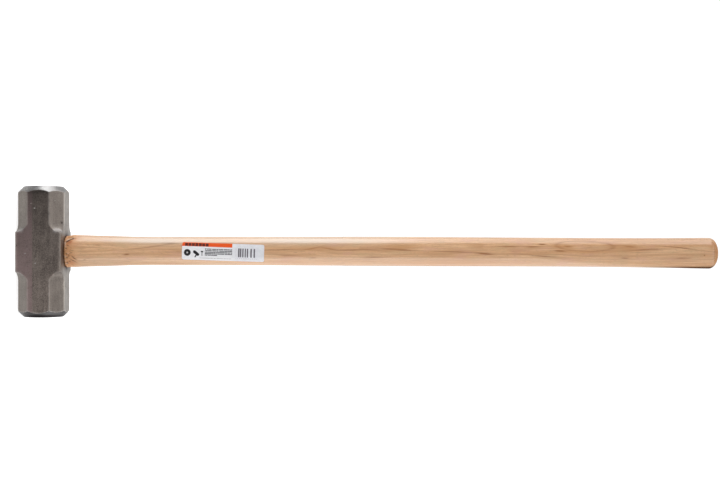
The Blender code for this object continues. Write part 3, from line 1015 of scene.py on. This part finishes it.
RING_SPACING = 2.6 * MM
RINGS_PAST_ZERO = 40.0
FIGURES = (
    # Bulges in the growth rings, which make a figure: the last number is the bulge's height
    (4, 452, 10, 90, 0, -1.8 * MM),
    (-3, 330, 9, 60, 0, 1.6 * MM),
    (3, 150, 10, 60, 0, 1.5 * MM),
)
STREAKS = (
    # Thin mineral and knot marks on the front
    (-10.9, 199, 1.2, 12, 0.05, 1.3),
    (-8.6, 104, 1, 4, 0, 0.9),
    (3.9, 142, 1, 3.5, -0.1, 1.6),
    (4.6, 150, 0.6, 20, 0, 0.3),
    (-6.5, 174, 0.8, 24, -0.14, 0.9),
    (-2.3, 345, 0.65, 28, -0.01, 1.5),
    (-4.2, 383, 0.65, 11, -0.18, 1.5),
    (-4, 404, 0.65, 9, 0.16, 1.3),
    (-2.4, 440, 0.7, 32, -0.01, 1.3),
    (-2.6, 496, 0.9, 22, 0.05, 1.6),
    (0.6, 572, 0.7, 30, 0.04, 1.1),
    (2.9, 608, 1, 10, 0.08, 1.9),
    (5.3, 678, 0.9, 24, 0.07, 1.3),
    (-6.5, 640, 0.8, 13, 0.02, 1.4),
    (-6, 668, 0.8, 8, 0, 1.2),
    (-9.5, 682, 0.9, 4, 0, 2),
    (-0.8, 706, 1.1, 6, 0.05, 2.4),
    (-6.6, 716, 1, 5, 0, 1.3),
    (5.2, 350, 1, 13, 0, 0.8),
    (8.2, 384, 0.8, 5, 0, 1),
    (8, 461, 1, 14, 0, 1.1),
    (-7, 776, 0.8, 10, -0.08, 0.6),
    (-6.3, 796, 1.1, 8, 0.12, 1.3),
    (-2.3, 818, 0.9, 22, -0.03, 1.3),
    (-4, 868, 0.65, 36, 0.115, 1.3),
    (8.4, 866, 1.2, 11, 0, 1),
    (8.4, 790, 0.9, 5, 0, 1.3),
    (4.7, 893, 0.8, 0.9, 0, 2),
    (-1, 906.5, 11, 0.9, 0, 0.9),
)
AMBER = (
    # Amber wood beside the marks
    (-4.5, 386, 3, 34, 0, 0.5),
    (-6.5, 300, 3, 40, 0, 0.2),
    (-6, 497, 3.6, 20, 0, 0.65),
    (-3.5, 640, 3, 40, 0, 0.15),
    (-5, 712, 4.5, 16, 0.1, 0.55),
    (0.5, 740, 2, 34, 0, 0.5),
    (-4.5, 792, 5, 24, 0.05, 0.5),
    (1.5, 668, 2.5, 40, 0.05, 0.25),
    (15, 575, 6, 100, 0, 0.60),
    (15, 375, 5, 70, 0, 0.35),
    (-14.5, 820, 5, 90, 0, 0.34),
    (-6, 905, 5, 5, 0, 0.5),
)
SAPWOOD = (
    # Pale sapwood along the front
    (-14.5, 175, 5, 60, 0, 0.75),
    (-14.5, 370, 5.5, 110, 0, 0.80),
    (14, 108, 5, 45, 0, 0.25),
)
LOOPS = (
    # Closed growth rings, where the shaft was cut across a bulge
    (-7.2, 738, 6.6, 37, 0.03, 0.75),
    (-7.2, 729, 3.4, 17, 0.03, 0.3),
)
GINGER = (
    # Fresh wood that a split and a bruise laid open
    (-12.4, 68.2, 1.9, 3.4, -0.35, 1.1),
    (-9.5, 65, 3, 2.6, 0, 0.45),
    (15, 70, 2, 5, 0, 0.6),
)
CHIPS = (
    # Torn and bruised wood where the handle meets the head
    (-13.5, 64.6, 1.2, 2.2, -0.45, 1.6),
    (-15.4, 68.4, 0.7, 3, -0.5, 1.1),
    (-16.8, 71.6, 0.9, 1.4, -0.3, 1.2),
    (-18.2, 69, 0.4, 2.6, -0.1, 0.6),
    (-4.3, 63.2, 0.9, 1.5, 0, 1),
    (5, 66.8, 1.3, 1.1, 0, 0.7),
    (7.6, 64.4, 1.2, 1.3, 0, 0.9),
    (8.8, 74, 0.8, 2.2, 0.6, 1.1),
    (6.2, 71.6, 0.6, 2, 0.6, 0.7),
    (11.6, 72.2, 0.7, 2.2, 0.6, 0.8),
    (12.4, 67.6, 0.9, 1.4, 0, 0.8),
    (10, 69, 0.5, 1.8, 0.7, 0.6),
    (-1.6, 72, 0.6, 1.6, 0, 0.5),
    (10.6, 87, 0.7, 1.4, 0, 0.6),
    (-8, 65.6, 0.6, 1.6, 0.5, 0.9),
    (1.6, 69.4, 0.5, 2, -0.5, 0.8),
    (3, 64.2, 1.2, 0.9, 0, 0.9),
    (14.6, 64.4, 1.2, 1.2, 0, 0.9),
    (13.6, 75.6, 0.5, 2, 0.7, 0.6),
)
FRAYED = (
    # Pale fibre torn up at the head
    (-12.1, 61.2, 0.7, 0.8, 0, 0.9),
    (-9.9, 61.6, 0.9, 0.9, 0, 0.8),
    (-7.6, 61.4, 0.6, 0.9, 0, 0.7),
    (-6.2, 62.8, 0.8, 0.7, 0, 0.6),
    (-15.2, 64.4, 0.9, 2.4, -0.45, 0.6),
    (-17.2, 69, 0.7, 2.4, -0.3, 0.45),
    (6.6, 62.2, 0.6, 1, 0, 0.6),
    (15.4, 62.8, 0.8, 1.4, 0, 0.5),
    (11.6, 61.6, 0.6, 0.7, 0, 0.5),
)


def wood_grain(s, place):
    """Growth rings, fibre and pores of a straight-grained pale hardwood, the same all through the wood."""
    x, y, z = s.axes(place)
    wander = s.grain(place, 0.14, 26 * MM, 2, 0.5)
    drift = s.grain(place, 0.20, 7 * MM, 2, 0.5)
    depth = s.total(
        y,
        s.product(x, 0.30),
        s.product(x, x, 5.0),
        s.product(s.minus(wander, 0.5), 10 * MM),
        s.product(s.minus(drift, 0.5), 1.6 * MM),
        spots(s, x, z, FIGURES),
    )
    turns = s.total(s.ratio(depth, RING_SPACING), RINGS_PAST_ZERO)
    ring = s.math("FRACT", turns)
    late = s.product(s.span(ring, 0.35, 0.90), s.span(ring, 0.92, 1.0, 1, 0))
    fleck = s.grain(place, 0.06, 0.28 * MM, 1, 0.5)
    return SimpleNamespace(
        x=x,
        y=y,
        z=z,
        late=late,
        year=s.noise(s.joined(s.math("FLOOR", turns), 0.0, 0.0), 1 / 3.7, 0, 0.5),
        fibre=s.grain(place, 0.022, 0.7 * MM, 3, 0.6),
        bands=s.grain(place, 0.045, 3.4 * MM, 3, 0.55),
        pores=s.product(s.span(fleck, 0.60, 0.70), s.span(late, 0.1, 0.5, 1, 0.25)),
    )


def lacquered_colour(s, place, g):
    """Pale wood with darker growth rings, fibres, pores and blushes."""
    pale, warm, deep = (0.885, 0.535, 0.278), (0.765, 0.410, 0.186), (0.54, 0.258, 0.098)
    blush = s.grain(place, 0.3, 9 * MM, 3, 0.55)
    return s.layers(
        s.mix(s.span(g.bands, 0.32, 0.68), warm, pale),
        (s.product(g.late, s.span(g.year, 0.3, 0.7, 0.25, 0.75)), deep),
        (s.span(g.fibre, 0.42, 0.70, 0, 0.6), (0.50, 0.25, 0.11)),
        (s.span(g.fibre, 0.28, 0.44, 0.4, 0), (0.90, 0.60, 0.36)),
        (s.span(blush, 0.52, 0.72, 0, 0.5), (0.72, 0.36, 0.225)),
        (s.span(blush, 0.30, 0.46, 0.45, 0), (0.66, 0.42, 0.20)),
        (s.product(g.pores, 0.5), (0.28, 0.13, 0.06)),
    )


def marked_front(s, place, g, front, colour):
    """Thin dark marks, amber wood and pale sapwood, laid over the front of the shaft."""
    waver = s.grain(place, 0.12, 5 * MM, 2, 0.5)
    x = s.total(g.x, s.product(s.minus(waver, 0.5), 2.2 * MM))
    marks = s.total(spots(s, x, g.z, STREAKS), outlines(s, x, g.z, LOOPS))
    broken = s.span(g.fibre, 0.30, 0.62, 0.35, 1)
    return s.layers(
        colour,
        (s.math("MULTIPLY", s.product(marks, front, broken), 0.9, clamp=True), (0.36, 0.135, 0.026)),
        (spots_within(s, x, g.z, AMBER, front), (0.62, 0.27, 0.075)),
        (spots_within(s, x, g.z, SAPWOOD, front), (0.68, 0.555, 0.43)),
    )


def marked_shoulder(s, g, front, near_head, scuffs, chips, colour):
    """Shaved, bruised and torn wood beside the head, and the dark seam between the two."""
    lower = s.span(g.x, -14 * MM, 12 * MM, 0.35, 1)
    bruised = s.product(near_head, s.span(scuffs, 0.52, 0.66), lower, 0.8)
    torn = s.product(s.span(g.z, 64 * MM, 70 * MM, 1, 0), s.span(scuffs, 0.46, 0.36), 0.8)
    seam = s.product(
        s.span(g.z, HEAD_TOP - 2.0 * MM, HEAD_TOP - 0.7 * MM, 0.93, 0), s.span(g.z, 4 * MM, 12 * MM)
    )
    return s.layers(
        colour,
        (s.product(near_head, 0.5), (0.78, 0.335, 0.135)),
        (bruised, (0.26, 0.105, 0.040)),
        (torn, (0.82, 0.62, 0.45)),
        (spots_within(s, g.x, g.z, GINGER, front), (0.60, 0.22, 0.09)),
        (s.math("MULTIPLY", chips, 0.85, clamp=True), (0.100, 0.028, 0.008)),
        (spots_within(s, g.x, g.z, FRAYED, front), (0.88, 0.70, 0.56)),
        (seam, (0.06, 0.025, 0.015)),
    )


def painted_shade_on_grip_edge(s, g):
    """How strongly painted shade lies on the grip's lower edge: a dark line that follows it round into the
    dome.
    """
    round_dome = s.span(g.z, DOME_START, HANDLE_END - 2.4 * MM, 0, 4 * MM)
    uneven = s.product(s.minus(g.fibre, 0.5), 1.6 * MM)
    return s.product(
        s.span(g.z, 760 * MM, 898 * MM),
        s.span(g.z, 904 * MM, 911 * MM, 1, 0),
        s.span(s.total(g.x, uneven, round_dome), 18.0 * MM, 20.9 * MM),
        s.span(g.y, -2.5 * MM, 1.0 * MM, 1, 0),
    )


def oiled_end_grain(s, g):
    """The tongue's end, which shows in the eye's mouth at the crown."""
    oiled = s.mix(s.span(g.bands, 0.35, 0.65), (0.30, 0.175, 0.095), (0.42, 0.265, 0.150))
    return s.mix(s.product(g.late, 0.6), oiled, (0.17, 0.085, 0.042))


def hardwood():
    """Clear-lacquered handle wood, darker and rougher where it was shaved to fit the head."""
    s = Surface("lacquered_hardwood")
    place = s.place()
    g = wood_grain(s, place)
    front = s.span(g.y, -4 * MM, 0, 1, 0)
    near_head = s.span(g.z, 62 * MM, 84 * MM, 1, 0)
    scuffs = s.grain(place, 0.6, 2.2 * MM, 4, 0.7)
    chips = s.product(spots(s, g.x, g.z, CHIPS), front)
    crown_end = s.span(g.z, 4 * MM, 12 * MM, 1, 0)
    dome_end = s.span(g.z, HANDLE_END - 10.5 * MM, HANDLE_END - 3.5 * MM)
    painted_shade_lower_edge = painted_shade_on_grip_edge(s, g)
    colour = marked_front(s, place, g, front, lacquered_colour(s, place, g))
    colour = s.layers(
        marked_shoulder(s, g, front, near_head, scuffs, chips, colour),
        (crown_end, oiled_end_grain(s, g)),
        (s.product(dome_end, 0.6), (0.44, 0.205, 0.095)),
        # Painted shade: a dark line along the grip's lower edge.
        (s.product(painted_shade_lower_edge, 0.95), (0.065, 0.020, 0.008)),
    )

    bare = s.most(dome_end, painted_shade_lower_edge, crown_end)
    roughness = s.total(
        0.36,
        s.product(g.pores, 0.15),
        s.product(near_head, 0.24),
        s.product(g.fibre, 0.08),
        s.product(bare, 0.35),
    )
    height = s.total(
        s.product(g.pores, -0.5),
        s.product(g.fibre, 0.35),
        s.product(near_head, scuffs, 1.8),
        s.product(chips, -1.5),
        s.product(g.late, 0.15),
    )
    coat = s.product(
        s.span(g.z, 66 * MM, 84 * MM, 0.2, 1.0), s.span(chips, 0, 0.5, 1, 0), s.span(bare, 0, 0.5, 1, 0)
    )
    return s.finish(
        colour=colour,
        roughness=roughness,
        specular=s.span(bare, 0, 1, 0.5, 0.08),
        normal=s.bump(height, 0.45, 0.10 * MM),
        coat=coat,
        coat_roughness=0.2,
        coat_ior=1.9,
    )


def bare_wedge_wood():
    """The wooden wedge's trimmed end, without lacquer."""
    s = Surface("bare_wedge_wood")
    g = wood_grain(s, s.stretched(s.place(), 0.7, 1.3, 1))
    colour = s.layers(
        s.mix(g.late, (0.55, 0.36, 0.20), (0.33, 0.18, 0.09)),
        (s.span(g.fibre, 0.4, 0.7, 0, 0.5), (0.40, 0.24, 0.13)),
    )
    return s.finish(
        colour=colour,
        roughness=s.span(g.fibre, 0, 1, 0.6, 0.8),
        normal=s.bump(g.fibre, 0.5, 0.12 * MM),
    )


def wedge_steel():
    """The steel wedges' cut and brushed metal."""
    s = Surface("cut_wedge_steel")
    place = s.place()
    scale = s.noise(place, 1.6 * MM, 4, 0.65)
    brushed = s.noise(s.stretched(place, 1, 0.06, 1), 0.25 * MM, 2, 0.5)
    colour = s.layers(
        s.mix(s.span(scale, 0.4, 0.65), (0.16, 0.14, 0.13), (0.46, 0.45, 0.44)),
        (s.span(brushed, 0.5, 0.8, 0, 0.4), (0.62, 0.61, 0.60)),
    )
    return s.finish(
        colour=colour,
        roughness=s.span(scale, 0.3, 0.7, 0.5, 0.3),
        metallic=1.0,
        normal=s.bump(s.total(scale, s.product(brushed, 0.4)), 0.5, 0.08 * MM),
    )


# Rows of small print as (middle, right end), and upright bars as (left, right), in millimetres.
LABEL_ROWS = ((8.3, 65.2), (10.3, 65.2), (12.3, 65.2), (14.2, 65.2), (16.1, 46.0))
LABEL_BARS = ((73, 74.9), (75.5, 77.2), (78.5, 80.1), (81.6, 83.1), (84.4, 86), (89, 90.8), (93.2, 95))


class Print(Surface):
    """Shapes printed on the label, in millimetres from its left end (u) and from its top edge (v)."""

    SOFT = 0.12

    def __init__(self, name):
        super().__init__(name)
        u, v, _ = self.axes(self.add("ShaderNodeUVMap", uv_map="print"))
        self.u = self.product(u, LABEL_LENGTH / MM)
        self.v = self.product(v, LABEL_WIDTH / MM)

    def between(self, value, low, high):
        rise = self.span(value, low - self.SOFT, low + self.SOFT, kind="LINEAR")
        fall = self.span(value, high - self.SOFT, high + self.SOFT, 1, 0, kind="LINEAR")
        return self.product(rise, fall)

    def box(self, left, right, low, high):
        return self.product(self.between(self.u, left, right), self.between(self.v, low, high))

    def nearer(self, du, dv, reach):
        return self.span(self.length(du, dv), reach - self.SOFT, reach + self.SOFT, 1, 0, kind="LINEAR")

    def disc(self, at_u, at_v, radius):
        return self.nearer(self.minus(self.u, at_u), self.minus(self.v, at_v), radius)

    def bar(self, from_u, from_v, to_u, to_v, half):
        """A straight bar with round ends."""
        run_u, run_v = to_u - from_u, to_v - from_v
        du, dv = self.minus(self.u, from_u), self.minus(self.v, from_v)
        dot = self.total(self.product(du, run_u), self.product(dv, run_v))
        share = self.math("DIVIDE", dot, run_u**2 + run_v**2, clamp=True)
        du = self.minus(du, self.product(share, run_u))
        dv = self.minus(dv, self.product(share, run_v))
        return self.nearer(du, dv, half)

    def stripes(self, pitch, filled, phase=0.0):
        """Upright stripes that fill this share of their pitch."""
        turn = self.math("FRACT", self.total(self.ratio(self.u, pitch), 10 + phase))
        edge = self.SOFT / pitch
        return self.product(self.span(turn, 0, edge), self.span(turn, filled, filled + edge, 1, 0))


def printed_marks(s):
    """A ring and two plain figures, each made of bars and boxes."""
    hole = s.product(s.disc(7.0, 13.6, 1.1), 0.7)
    ring = s.math("SUBTRACT", s.disc(7.0, 13.6, 4.4), hole, clamp=True)
    tool = s.most(
        s.bar(16.4, 12.4, 20.6, 15.6, 1.9),
        s.bar(15.6, 11.4, 17.2, 11.8, 0.8),
        s.bar(18.4, 17.0, 17.2, 18.9, 0.8),
    )
    post = s.most(s.box(24.6, 27.6, 10.9, 12.7), s.product(s.box(25.4, 26.9, 12.7, 17.4), 0.55))
    return s.most(ring, tool, post)


def printed_rows(s):
    """Rows of ragged specks, too fine to be letters, in place of small print."""
    patches = s.joined(s.product(s.u, 0.55), s.math("FLOOR", s.ratio(s.v, 2.0)), 0.0)
    ragged = s.noise(patches, 1.0, 2, 0.6)
    rows = s.most(*[s.box(29.8, right, middle - 0.6, middle + 0.6) for middle, right in LABEL_ROWS])
    rows = s.product(rows, s.span(ragged, 0.38, 0.47, 0.12, 1.0))
    foot = s.product(s.box(23.0, 64.0, 19.8, 20.7), s.span(ragged, 0.40, 0.50, 0.1, 0.5))
    return s.most(rows, foot)


def printed_bars(s):
    """Upright bars over a row of small marks."""
    bars = s.most(*[s.between(s.u, left, right) for left, right in LABEL_BARS])
    bars = s.product(bars, s.between(s.v, 5.9, 17.4), 0.94)
    under = s.product(s.box(70.0, 98.0, 18.9, 19.8), s.stripes(2.4, 0.5), 0.35)
    return s.most(bars, under)


def printed_paper():
    """A gloss sticker with a plain coloured band, simple marks and rows of bars. It carries no lettering."""
    s = Print("printed_label_paper")
    worn = s.noise(s.place(), 4 * MM, 4, 0.6)
    blocks = s.product(s.box(3.4, 34.8, 0.9, 5.0), s.stripes(4.48, 0.84, 0.22), 0.93)
    colour = s.layers(
        s.mix(s.span(worn, 0.35, 0.7), (0.80, 0.80, 0.84), (0.88, 0.88, 0.92)),
        (s.span(s.u, 60.0, 72.0, 0.8, 0), (0.96, 0.96, 0.98)),
        (s.box(-1, 65.2, -1, 5.3), (0.90, 0.100, 0.004)),
        (blocks, (0.055, 0.006, 0.004)),
        (printed_marks(s), (0.004, 0.0035, 0.005)),
        (printed_rows(s), (0.030, 0.030, 0.042)),
        (printed_bars(s), (0.060, 0.046, 0.070)),
    )
    return s.finish(
        colour=colour,
        roughness=s.span(worn, 0.3, 0.7, 0.30, 0.42),
        normal=s.bump(worn, 0.25, 0.05 * MM),
        coat=0.12,
        coat_roughness=0.2,
    )


# CAD solids that stay


JOINED_WITHIN = 0.01 * MM


def keep_wedges():
    """The wedges keep their CAD solids, with their edges eased by modifiers."""
    finishes = {"wood_wedge": bare_wedge_wood(), "steel_wedge_near": wedge_steel()}
    finishes["steel_wedge_far"] = finishes["steel_wedge_near"]
    for node, material in finishes.items():
        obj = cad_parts[node]
        obj.data.materials.clear()
        obj.data.materials.append(material)
        weld = obj.modifiers.new("joined_faces", "WELD")
        weld.merge_threshold = JOINED_WITHIN
        ease = obj.modifiers.new("eased_edges", "BEVEL")
        ease.width = WEDGE_EDGE
        ease.segments = 2
        ease.limit_method = "ANGLE"
        ease.angle_limit = math.radians(30)


# Studio


FLOOR_HALF = 30.0
FLOOR_GLOW = 0.72
WHITE_SEEN = 1.1


def plain_white_floor():
    """A floor that only the camera sees: it takes the hammer's shadow and sends no light back up to it."""
    material = bpy.data.materials.new("pale_floor")
    material.use_nodes = True
    shader = material.node_tree.nodes["Principled BSDF"]
    shader.inputs["Base Color"].default_value = (0.8, 0.8, 0.8, 1)
    shader.inputs["Roughness"].default_value = 0.8
    shader.inputs["Emission Color"].default_value = (1, 1, 1, 1)
    shader.inputs["Emission Strength"].default_value = FLOOR_GLOW
    reach = FLOOR_HALF
    points = [(-reach, -reach, 0), (reach, -reach, 0), (reach, reach, 0), (-reach, reach, 0)]
    mesh = bpy.data.meshes.new("floor")
    mesh.from_pydata(points, [], [(0, 1, 2, 3)])
    mesh.materials.append(material)
    floor = bpy.data.objects.new("floor", mesh)
    floor.visible_diffuse = floor.visible_glossy = floor.visible_shadow = False
    link(floor)


def soft_light(name, place, target, wide, tall, power):
    data = bpy.data.lights.new(name, "AREA")
    data.shape = "RECTANGLE"
    data.size, data.size_y = wide, tall
    data.energy = power
    light = bpy.data.objects.new(name, data)
    light.location = place
    light.rotation_mode = "QUATERNION"
    light.rotation_quaternion = (Vector(target) - Vector(place)).to_track_quat("-Z", "Z")
    light.visible_camera = False
    link(light)


def surrounding_light():
    """A white room: plain white to the camera, dim in front of the hammer and past +X, and bright behind."""
    world = bpy.data.worlds.new("white_room")
    bpy.context.scene.world = world
    world.use_nodes = True
    w = NodeTree(world.node_tree)
    w.nodes.clear()
    x, y, _ = w.axes(w.add("ShaderNodeTexCoord", output="Generated"))
    left = w.most(w.span(x, -0.8, -0.3, 0.2, 1), w.span(y, 0.1, 0.4, 0, 1))
    strength = w.product(w.span(y, -1.0, -0.6, 0.42, 0.85), left, w.span(x, 0.6, 0.95, 1, 0.55))
    lit = w.add("ShaderNodeBackground", {"Color": (1, 1, 1), "Strength": strength})
    seen = w.add("ShaderNodeBackground", {"Color": (1, 1, 1), "Strength": WHITE_SEEN})
    to_camera = w.add("ShaderNodeLightPath", output="Is Camera Ray")
    shader = w.add("ShaderNodeMixShader", {0: to_camera, 1: lit, 2: seen})
    w.add("ShaderNodeOutputWorld", {"Surface": shader}, output=None)


CAMERA_DISTANCE = 1.63
CAMERA_HEIGHT = 0.4453
CAMERA_SIDE = 0.5 * MM
VIEW_WIDTH = 0.945
SENSOR_WIDTH = 36.0


def make_camera():
    """Looks along +Y at the middle of the hammer, turned so that the handle lies across the picture."""
    data = bpy.data.cameras.new("camera")
    data.sensor_width = SENSOR_WIDTH
    data.lens = SENSOR_WIDTH * CAMERA_DISTANCE / VIEW_WIDTH
    camera = bpy.data.objects.new("camera", data)
    right, up, back = Vector((0, 0, 1)), Vector((-1, 0, 0)), Vector((0, -1, 0))
    turn = Matrix((right, up, back)).transposed().to_4x4()
    camera.matrix_world = Matrix.Translation((CAMERA_SIDE, -CAMERA_DISTANCE, CAMERA_HEIGHT)) @ turn
    link(camera)
    bpy.context.scene.camera = camera


def make_studio():
    plain_white_floor()
    soft_light("key_softbox", (-0.62, -0.10, 0.27), (0, -0.02, 0.27), 0.66, 0.58, 2.9)
    soft_light("upper_softbox", (-0.62, -0.10, 0.88), (0, -0.02, 0.88), 0.66, 0.60, 1.7)
    soft_light("low_fill", (0.80, -0.10, 0.47), (0, 0, 0.47), 0.85, 1.5, 4.2)
    soft_light("overhead", (-0.2, 0.3, 2.4), (0, 0, 0.2), 1.4, 1.4, 6)
    surrounding_light()
    make_camera()
    scene = bpy.context.scene
    scene.view_settings.view_transform = "Standard"
    scene.view_settings.look = "None"


make_head(forged_steel())
make_handle(hardwood())
make_label(printed_paper())
keep_wedges()
make_studio()
